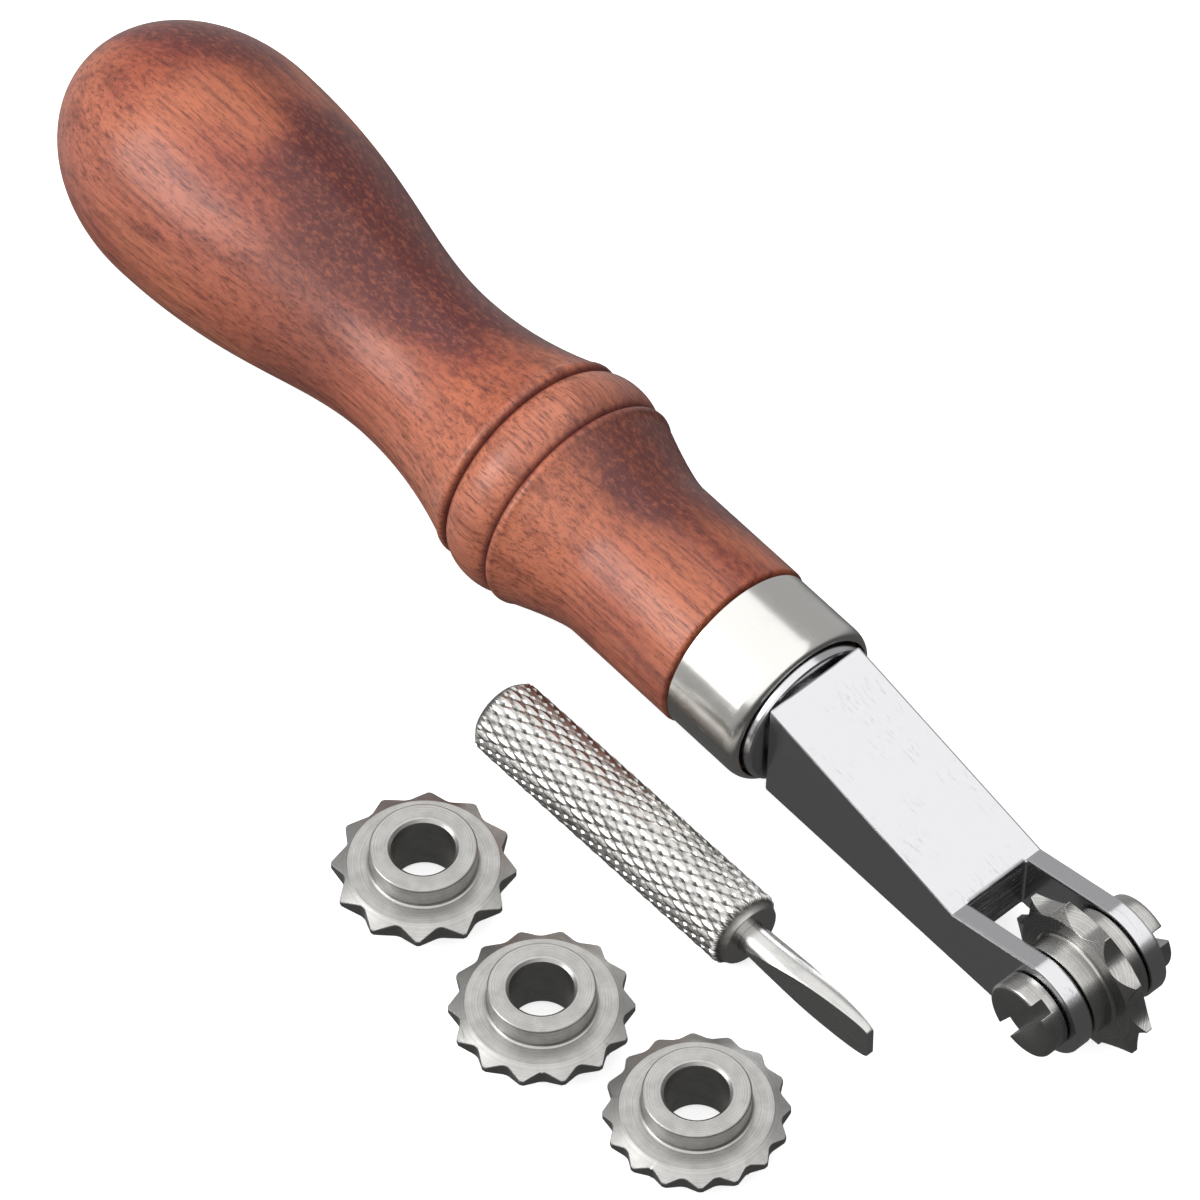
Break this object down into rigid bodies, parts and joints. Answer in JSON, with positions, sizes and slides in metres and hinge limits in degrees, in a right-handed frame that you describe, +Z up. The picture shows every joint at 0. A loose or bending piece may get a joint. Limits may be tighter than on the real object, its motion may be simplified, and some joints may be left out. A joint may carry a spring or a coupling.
{
  "type": "stitch spacing wheel",
  "caption": "Hand tool that rolls evenly spaced stitch marks into leather: a wooden handle, a forked shank with a toothed wheel, spare wheels and a small screwdriver.",
  "frame": {"origin": "centre of the base of the kit's bounding box, on the bench", "axes": "+X along the tool from the handle's butt to the wheel, +Z up from the bench, +Y from the accessories towards the tool"},
  "size_m": [0.1386, 0.0552, 0.0252],
  "materials": {
    "stained_wood": "reddish-brown stain under a satin varnish, fine grain along the handle",
    "polished_nickel": "mirror-polished drawn ferrule",
    "plated_steel": "satin plating with fine scratches",
    "turned_steel": "lathe-turned, fine concentric tool marks",
    "axle_steel": "polished round heads with milled slots",
    "knurled_steel": "fine diamond knurl",
    "blade_steel": "ground and lightly polished"
  },
  "bodies": {
    "tool": {"handle": "stained_wood", "ferrule": "polished_nickel", "fork_shank": "plated_steel"},
    "fitted_wheel": {"wheel_10_teeth": "turned_steel"},
    "barrel": {"axle_barrel": "axle_steel"},
    "screw": {"axle_screw": "axle_steel"},
    "driver": {"driver_grip": "knurled_steel", "driver_blade": "blade_steel"},
    "spare_12": {"spare_wheel_12_teeth": "turned_steel"},
    "spare_14": {"spare_wheel_14_teeth": "turned_steel"},
    "spare_16": {"spare_wheel_16_teeth": "turned_steel"}
  },
  "joints": [
    {"name": "wheel_spin", "type": "hinge", "parent": "tool", "child": "fitted_wheel", "pos_m": [0.06123, 0.01532, 0.00771], "axis": [0, 1, 0], "continuous": true},
    {"name": "barrel_draw", "type": "slide", "parent": "tool", "child": "barrel", "axis": [0, 1, 0], "range_m": [0, 0.014]},
    {"name": "screw_draw", "type": "slide", "parent": "tool", "child": "screw", "axis": [0, -1, 0], "range_m": [0, 0.01]},
    {"name": "driver_roll", "type": "hinge", "parent": "tool", "child": "driver", "pos_m": [0.03713, -0.00132, 0.0037], "axis": [1, 0, 0], "continuous": true},
    {"name": "spare_12_lift", "type": "slide", "parent": "tool", "child": "spare_12", "axis": [0, 0, 1], "range_m": [0, 0.03]},
    {"name": "spare_14_lift", "type": "slide", "parent": "tool", "child": "spare_14", "axis": [0, 0, 1], "range_m": [0, 0.03]},
    {"name": "spare_16_lift", "type": "slide", "parent": "tool", "child": "spare_16", "axis": [0, 0, 1], "range_m": [0, 0.03]}
  ]
}
